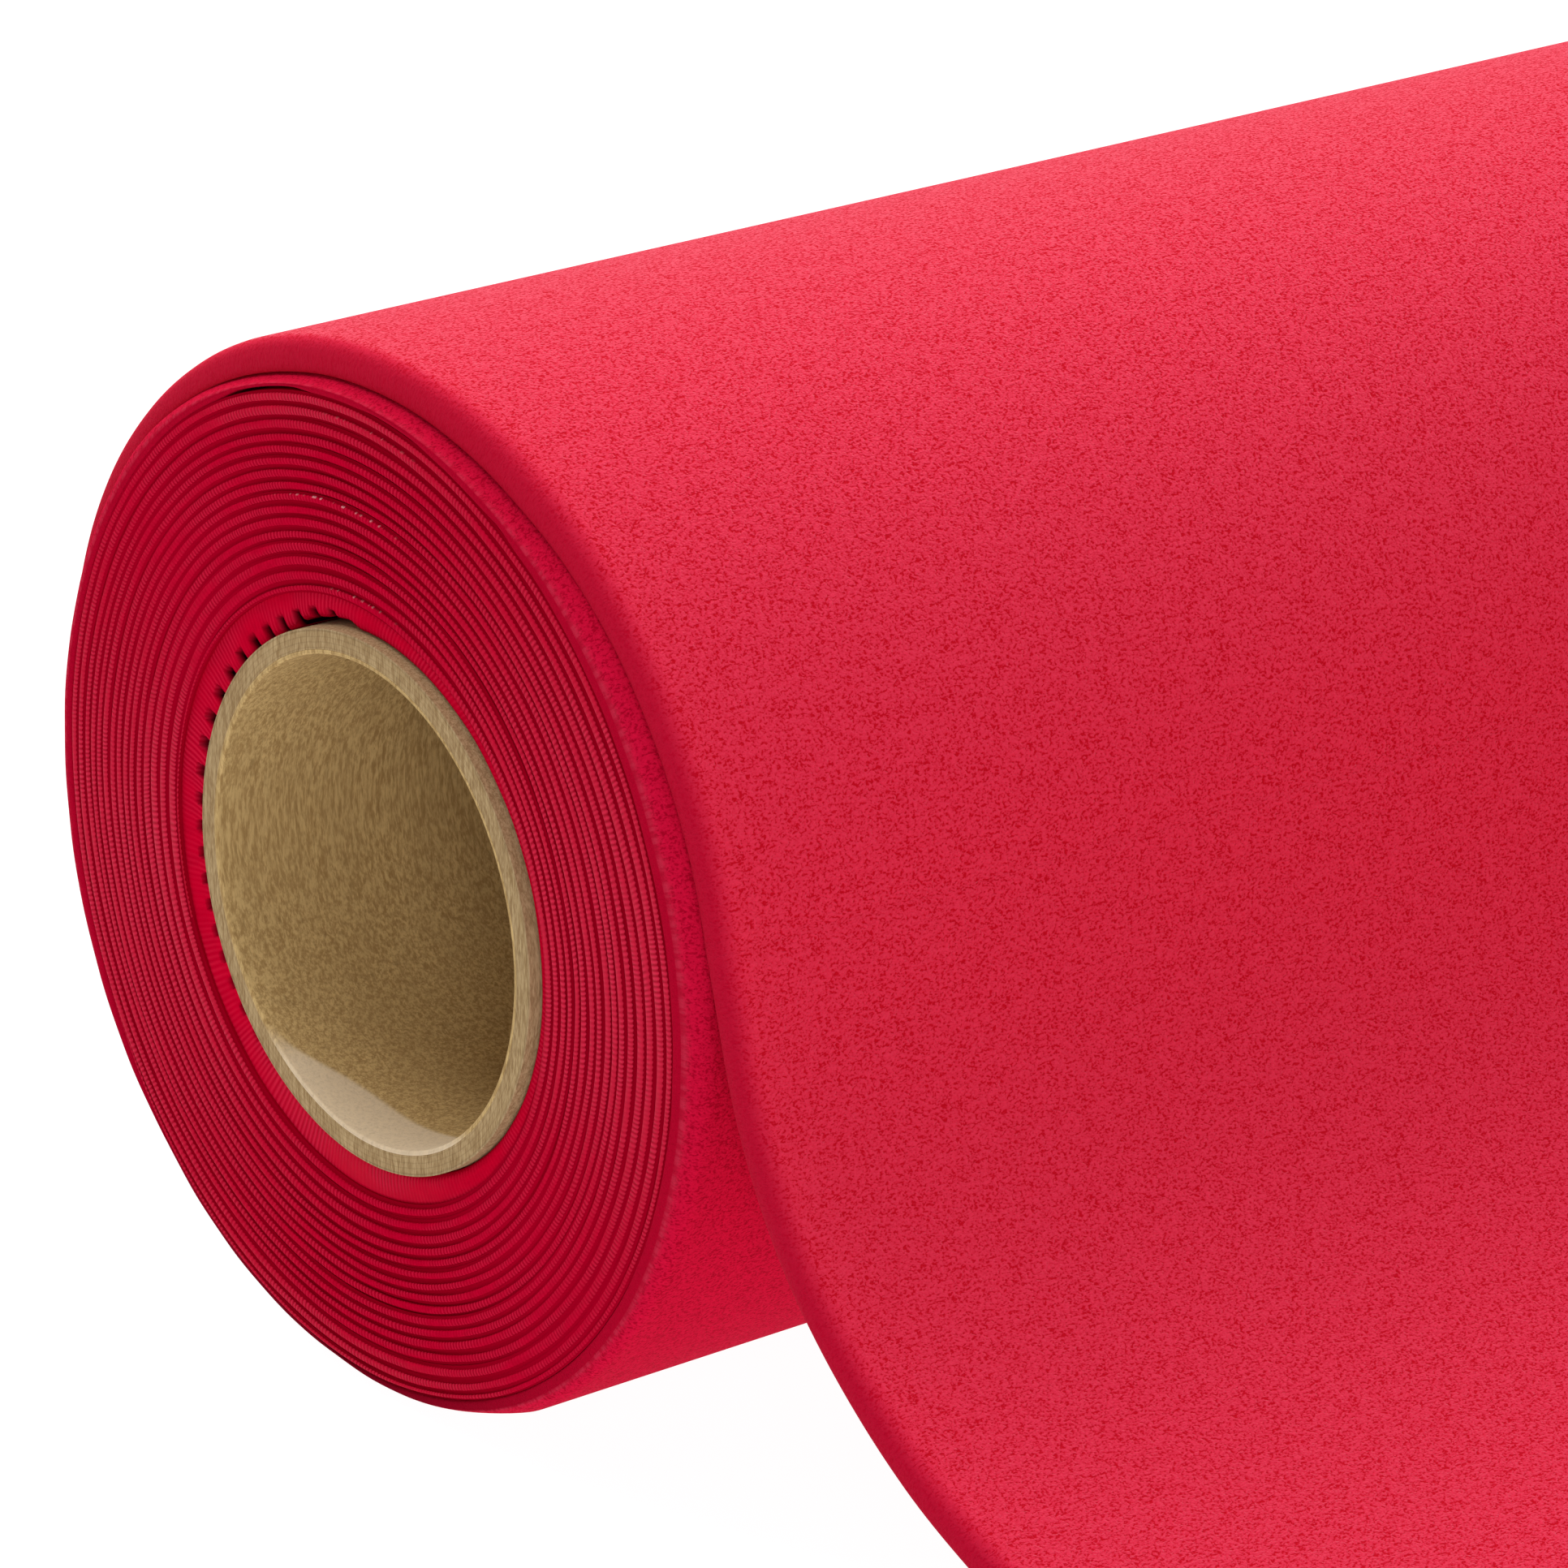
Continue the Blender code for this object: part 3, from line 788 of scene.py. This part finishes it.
def wound_sheet():
    seg = 190
    n = int(TURNS * seg)
    turn = np.arange(n + 1) / seg
    phi = np.radians(START_DEG) - turn * 2 * math.pi
    r = turn_radius(turn)
    pitch = turn_radius(turn + 1) - r
    back = r - turn_radius(turn - 1)
    back[turn < 1] = pitch[turn < 1]
    along = np.concatenate([[0], np.cumsum(np.hypot(
        np.diff(r * np.cos(phi)), np.diff(r * np.sin(phi))))])
    width = 1 + 0.20 * wander(along, 0.02, 21) + 0.12 * wander(along, 0.12, 22)
    wob = 0.00010 * wander(along, 0.012, 23)
    place = np.degrees(phi) % 360.0
    # calm: the upper left and lower right of the face, where the grooves are
    # shallower, their painted shade lighter and the painted highlight weaker
    calm = np.clip(bump_at(place, 142.0, 52.0) + bump_at(place, 318.0, 44.0),
                   0, 1)
    # flank: the front and the back of the face, and some outer turns near the
    # top and bottom, where the beads get a painted highlight and stronger teeth
    flank = np.abs(np.cos(phi - math.radians(8.0))) ** 3 * (1 - 0.8 * calm)
    flank = np.maximum(flank, 0.5 * smooth((turn - 12.5) / 2.5)
                       * np.maximum(bump_at(place, 250.0, 60.0),
                                    bump_at(place, 92.0, 46.0)))
    # each turn's edge lies a little in or out
    slip_l = 0.00022 * wander(along, 0.30, 31, 2) \
        + 0.00008 * wander(along, 0.02, 32)
    slip_r = 0.00022 * wander(along, 0.30, 33, 2) \
        + 0.00008 * wander(along, 0.02, 34)
    deep = (0.00040 + 0.00009 * wander(along, 0.05, 35)) * (1 - 0.5 * calm)
    # across the sheet: share of the half pitch, share of the depth, ridge
    profile = [(1.01, 5.0, 0.0), (1.01, 1.04, 0.0), (0.82, 1.0, 0.0),
               (0.66, 0.88, 0.03), (0.575, 0.50, 0.42), (0.50, 0.16, 0.85),
               (0.30, 0.0, 1.0), (0.0, -0.05, 1.0)]
    half = [(-a, d, g) for a, d, g in profile] \
        + [(a, d, g) for a, d, g in reversed(profile[:-1])]
    half = np.array(half)
    K = len(half)
    inner_half = back[:, None] / 2
    outer_half = pitch[:, None] / 2
    a = half[None, :, 0]
    ridge_width = np.where(np.abs(a) < 0.8, width[:, None], 1.0)
    rho = np.where(a < 0, a * inner_half, a * outer_half) * ridge_width
    # the sheet's first end is pressed thin and grows to full thickness
    thin = (1 - smooth(turn / START_TAPER))[:, None]
    lower = -inner_half + (0.9 * outer_half + inner_half) * thin
    upper = -inner_half + (inner_half + outer_half) \
        * share_left(turn)[:, None]
    rho = lower + (rho + inner_half) / (outer_half + inner_half) \
        * (upper - lower)
    sink = 0.0004 * smooth((turn - TURNS + 0.10) / 0.08)[:, None]
    left_x = (-HALF_W + deep[:, None] * half[None, :, 1] + slip_l[:, None]
              + sink)
    right_x = (HALF_W - deep[:, None] * half[None, :, 1] + slip_r[:, None]
               - sink)
    rr = r[:, None] + rho + wob[:, None] * (np.abs(a) < 0.8)
    y = -rr * np.cos(phi)[:, None]
    z = rr * np.sin(phi)[:, None]
    left = np.stack([left_x, y, z], -1)
    right = np.stack([right_x, y, z], -1)[:, ::-1]
    rings = np.concatenate([left, right], 1)
    u = np.broadcast_to(along[:, None], (n + 1, 2 * K + 1))
    v = np.concatenate([rho, rho[:, ::-1], rho[:, :1]], 1)
    uvs = np.stack([u, v], -1)
    ridge = np.concatenate([half[:, 2], half[::-1, 2]])
    ridge = np.broadcast_to(ridge, (n + 1, 2 * K))
    # a few turns carry painted glints: pale dashes on their outer shoulder
    glint = np.zeros((n + 1, 2 * K))
    shoulder = ((half[:, 0] > 0.45) & (half[:, 0] < 0.62)).astype(float)
    shoulder = np.concatenate([shoulder, shoulder[::-1]])
    for lo, hi, power in ((7.24, 7.34, 0.7), (14.28, 14.34, 0.5),
                          (11.90, 12.00, 0.8), (8.90, 8.98, 0.7),
                          (10.02, 10.06, 0.5), (0.26, 0.34, 0.5)):
        band = smooth((turn - lo) / 0.04) * smooth((hi - turn) / 0.04)
        glint += power * band[:, None] * shoulder[None, :]
    ob = loft("wound_sheet", rings, uvs,
              {"ridge": ridge, "glint": np.clip(glint, 0, 1),
               "calm": np.repeat(calm[:, None], 2 * K, 1),
               "flank": np.repeat(flank[:, None], 2 * K, 1),
               "notch": np.zeros((n + 1, 2 * K))},
              mats=[MAT_EDGES])
    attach(ob, "roll")
    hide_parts("wound_web")
    return ob, float(along[-1])


def ring_outer(deg):
    """The felt of the last tight turn swells behind its pinched edge: it fills
    the space under the loose turn, and settles back below the front."""
    under = wrap_inner(deg) - 0.00014
    front = wrap_inner(np.full_like(deg, WRAP_FROM_DEG)) - 0.00014
    below = OUTER_R + (front - OUTER_R) * smooth(
        (deg + 55.0) / (WRAP_FROM_DEG + 55.0))
    r = np.where(deg >= WRAP_FROM_DEG, under, below)
    return np.maximum(r, OUTER_R - 0.00005)


def bump_at(deg, centre, half):
    """1 at an angle, falling smoothly to 0 at half degrees either side."""
    d = np.abs((deg - centre + 180.0) % 360.0 - 180.0)
    return smooth(1.0 - d / half)


def outer_turn():
    """The last turn that is still tight: its felt face shows on the cylinder,
    its edge is smooth and dark."""
    seg = 288
    phi = np.arange(seg) * 2 * math.pi / seg
    deg = (np.degrees(phi) + 100.0) % 360.0 - 100.0
    inner = wound_rim(phi) + 0.00003 * around(phi, 41, (3, 5, 9, 14))
    for lo, hi, wide in ((97, 117, 0.00036), (74, 90, 0.00022),
                         (58, 66, 0.00030)):
        inner = inner + wide * smooth((deg - lo) / 5) * smooth((hi - deg) / 5)
    # below: the underside of the turn, where the cut edge gets painted shade
    below = bump_at(deg, 262.0, 58.0)
    sag = lip_droop(deg) / 0.0013
    rim_r = (RIM_R + 0.00035 * bump_at(deg, 195.0, 55.0)
             - 0.00060 * bump_at(deg, 250.0, 40.0) - 0.00030 * sag)
    rim_r = np.maximum(rim_r, inner + 0.0005)
    full = ring_outer(deg)
    swell = full - rim_r + 0.00030            # how far the felt rises
    # over this much of the width, more of it underneath
    reach = (0.00030 + 0.95 * (full - rim_r)
             + 0.0100 * bump_at(deg, 256.0, 56.0) + 0.0052 * sag)
    slip_l = 0.00012 * around(phi, 42) + 0.00005 * around(phi, 43, (17, 29, 41))
    slip_r = 0.00012 * around(phi, 44) + 0.00005 * around(phi, 45, (17, 29, 41))
    one = np.ones(seg)
    rows = [(inner, 0.0030 * one, 0.0, 0.0),
            (inner, 0.0004 * one, 0.6, 0.0),
            (inner + 0.00012, 0.00010 * one, 1.0, 0.0),
            (inner + 0.00035, 0.0 * one, 1.0, 0.0),
            ((inner + rim_r) / 2, -0.00003 * one, 1.0, 0.0),
            (rim_r - 0.00055, 0.0 * one, 1.0, 0.0),
            (rim_r - 0.00038, 0.0 * one, 1.0, 0.0)]
    # a slope rather than a round, below and under the loose turn's edge
    flat = np.maximum(bump_at(deg, 256.0, 70.0), sag)
    # rim marks the corner rows, which the material paints with a pale highlight
    # line
    for i in range(0, 9):
        a = math.pi / 2 * i / 8
        rise = (1 - flat) * math.sin(a) + flat * (1 - math.cos(a)) ** 1.1
        rows.append((rim_r - 0.00030 + swell * rise,
                     reach * (1 - math.cos(a)), max(0.0, 1.0 - 0.5 * i),
                     (0.6, 1.0, 0.25, 0.0, 0.0, 0.0, 0.0, 0.0, 0.0)[i]))
    rows.append((full, reach + 0.0012, 0.0, 0.0))
    rows.append((full, reach + 0.0060, 0.0, 0.0))
    radii = np.array([r[0] for r in rows]).T                     # seg, K
    offs = np.array([r[1] for r in rows]).T
    side = np.array([r[2] for r in rows])
    rim = np.array([r[3] for r in rows])
    K = len(rows)
    lx = -HALF_W + offs + slip_l[:, None]
    rx = HALF_W - offs + slip_r[:, None]
    y = PACK_Y - radii * np.cos(phi)[:, None]
    z = PACK_Z + radii * np.sin(phi)[:, None]
    left_p = np.stack([lx, y, z], -1)
    right_p = np.stack([rx, y, z], -1)[:, ::-1]
    rings = np.concatenate([left_p, right_p], 1)
    # the texture's place across the sheet is counted from the felt face, so
    # that it isn't drawn out where the felt swells
    step = np.zeros((seg, K))
    step[:, 1:] = np.cumsum(np.hypot(np.diff(radii, axis=1),
                                     np.diff(offs, axis=1)), axis=1)
    out = step - step[:, -1:]
    wide = 2 * HALF_W - 0.012
    d = np.concatenate([out, wide - out[:, ::-1],
                        2 * wide - out[:, :1] * 2], 1)
    d = np.concatenate([d, d[:1]], 0)
    s = np.arange(seg + 1) * 2 * math.pi / seg * OUTER_R
    uvs = np.stack([d, np.broadcast_to(s[:, None], d.shape)], -1)
    side = np.concatenate([side, side[::-1]])
    rim = np.concatenate([rim, rim[::-1]])
    ob = loft("outer_turn", rings, uvs,
              {"side": np.broadcast_to(side, (seg, 2 * K)),
               "rim": np.broadcast_to(rim, (seg, 2 * K)),
               "painted_shade_below": (side[None, :] > 0.8) * below[:, None]},
              closed_path=True, mats=[MAT_FELT_SHADED])
    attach(ob, "roll")
    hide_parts("outermost_turn")
    return ob


def inner_ruffle():
    """The start of the sheet, crushed against the core in small scallops with
    dark notches between them."""
    seg = 1080
    phi = np.arange(seg) * 2 * math.pi / seg
    deg = np.degrees(phi)
    # the inner face of the first turn, seen from the core's axis
    turn = (math.radians(START_DEG) - phi) / (2 * math.pi) % 1.0
    half = 0.5 * (turn_radius(turn + 1) - turn_radius(turn))
    outer = (turn_radius(turn) - half + 0.00010
             + 1.9 * half * (1 - smooth(turn / START_TAPER)))
    width = np.maximum(outer - (CORE_R + 0.0001), 0.0002)
    roomy = smooth((width - 0.0006) / 0.0018)
    wave = np.cos(60 * phi + 3.4 * around(phi, 51, (2, 3, 5)))
    strong = smooth((deg - 96.0) / 10.0) * smooth((240.0 - deg) / 30.0)
    strong = strong * (0.78 + 0.22 * around(phi, 53, (5, 8, 13)))
    notch = smooth((wave * 0.5 + 0.5 - 0.42) / 0.36) * roomy * strong
    black = smooth((deg - 92) / 5.0) * smooth((117 - deg) / 6.0)
    inner = CORE_R + 0.00010 + 0.00075 * black * roomy
    inner = np.minimum(inner, outer - 0.0002)
    # (distance from the core, share of the width at most, depth, ridge)
    prof = np.array([
        (0.0, 0.0, 0.0060, 0.0), (0.0, 0.0, 0.0012, 0.0),
        (0.0003, 0.06, 0.00085, 0.2), (0.0008, 0.16, 0.00062, 0.6),
        (0.0013, 0.27, 0.00050, 0.9), (0.0018, 0.38, 0.00045, 1.0),
        (0.0022, 0.48, 0.00044, 1.0), (0.0026, 0.56, 0.00044, 1.0),
        (0.0030, 0.63, 0.00045, 1.0), (0.0034, 0.70, 0.00045, 1.0),
        (0.0039, 0.78, 0.00048, 1.0), (1.0, 0.88, 0.00050, 1.0),
        (1.0, 1.0, 0.00062, 0.6), (1.0, 1.0, 0.0060, 0.0)])
    K = len(prof)
    room = (outer - inner)[:, None]
    radii = inner[:, None] + np.minimum(prof[None, :, 0],
                                        prof[None, :, 1] * room)
    # a notch ends a millimetre out from the core, and farther out at the
    # back, where the core's proud end hides the first part of it
    extent = (0.0019 + 0.0016 * bump_at(deg, 190.0, 100.0)) \
        * (0.70 + 0.30 * notch)
    away = radii - CORE_R
    inside = smooth((extent[:, None] - away) / 0.0006 + 0.5)
    # painted shade: the notches' depth is darkened to near black in the
    # material
    dark = inside * smooth(1.4 * notch)[:, None]
    skin = prof[None, :, 2] < 0.005
    lump = (0.00026 * (1 - notch)[:, None] * roomy[:, None]
            * np.clip(1 - away / 0.0032, 0, 1)
            - 0.0012 * inside * notch[:, None]) * skin
    soft = 0.00006 * around(phi, 52, (7, 11, 19, 23))[:, None]
    fan = 0.35 * bump_at(deg, 262.0, 46.0)
    lx = -HALF_W + prof[None, :, 2] + soft - lump
    rx = HALF_W - prof[None, :, 2] + soft + lump
    y = -radii * np.cos(phi)[:, None]
    z = radii * np.sin(phi)[:, None]
    left = np.stack([lx, y, z], -1)
    right = np.stack([rx, y, z], -1)[:, ::-1]
    rings = np.concatenate([left, right], 1)
    s = np.arange(seg + 1) * 2 * math.pi / seg * CORE_R
    v = np.concatenate([prof[:, 1] * 0.002, prof[::-1, 1] * 0.002, [0.0]])
    uvs = np.stack(np.broadcast_arrays(s[:, None], v[None, :]), -1)
    ridge = np.concatenate([prof[:, 3], prof[::-1, 3]])
    ob = loft("sheet_start", rings, uvs,
              {"ridge": np.broadcast_to(ridge, (seg, 2 * K)),
               "glint": np.zeros((seg, 2 * K)),
               "calm": np.ones((seg, 2 * K)),
               "flank": np.repeat(fan[:, None], 2 * K, 1),
               "notch": np.concatenate([dark, dark[:, ::-1]], 1)},
              closed_path=True, mats=[MAT_RUFFLE])
    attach(ob, "roll")
    return ob


# --------------------------------------------------------------------- the core
def tube(name, inner, outer, half, lip_in, lip_out, mat, node,
         rough=0.00003, seed=1):
    """One ply group of the core, with softened, slightly uneven cut ends."""
    seg = 180
    phi = np.arange(seg) * 2 * math.pi / seg
    prof = []
    for i in range(0, 5):                        # inner lip
        a = math.pi / 2 * i / 4
        prof.append((inner + lip_in - lip_in * math.cos(a),
                     lip_in - lip_in * math.sin(a)))
    prof.append(((inner + outer) / 2, 0.0))
    for i in range(4, -1, -1):                   # outer lip
        a = math.pi / 2 * i / 4
        prof.append((outer - lip_out + lip_out * math.cos(a),
                     lip_out - lip_out * math.sin(a)))
    prof.append((outer, 0.004))
    prof = [(inner, 0.010), (inner, 0.004)] + prof + [(outer, 0.010)]
    prof = np.array(prof)
    K = len(prof)
    uneven_l = rough * around(phi, seed, (2, 3, 7, 13, 29))[:, None]
    uneven_r = rough * around(phi, seed + 1, (2, 3, 7, 13, 29))[:, None]
    lx = -half + prof[None, :, 1] + np.abs(uneven_l)
    rx = half - prof[None, :, 1] - np.abs(uneven_r)
    r = np.broadcast_to(prof[None, :, 0], (seg, K))
    y = -r * np.cos(phi)[:, None]
    z = r * np.sin(phi)[:, None]
    left = np.stack([np.broadcast_to(lx, (seg, K)), y, z], -1)
    right = np.stack([np.broadcast_to(rx, (seg, K)), y, z], -1)[:, ::-1]
    rings = np.concatenate([left, right], 1)
    ob = loft(name, rings, None, None, closed_path=True, mats=[mat])
    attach(ob, "roll")
    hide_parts(node)
    return ob


# ------------------------------------------------------------------------ build
bpy.context.scene.view_settings.view_transform = "Standard"
camera()
lights()
stage()
felt_sheet()
wound, wound_length = wound_sheet()
last = outer_turn()
start = inner_ruffle()
tube("core_liner_ply", BORE_R, LINER_R + 0.0001, CORE_HALF, 0.00030, 0.00006,
     MAT_LINER, "core_inner_liner", seed=61)
tube("core_board_plies", LINER_R + 0.0001, CORE_R - 0.00025, CORE_HALF,
     0.00006, 0.00006, MAT_BOARD, "core_body", 0.00005, 63)
tube("core_skin_ply", CORE_R - 0.00025, CORE_R, CORE_HALF, 0.00004, 0.00012,
     MAT_SKIN, "core_outer_ply", seed=65)
TAPE = tape_material()
for ob in bpy.data.objects:
    if ob.name == "start_tape":
        for slot in ob.material_slots:
            slot.material = TAPE
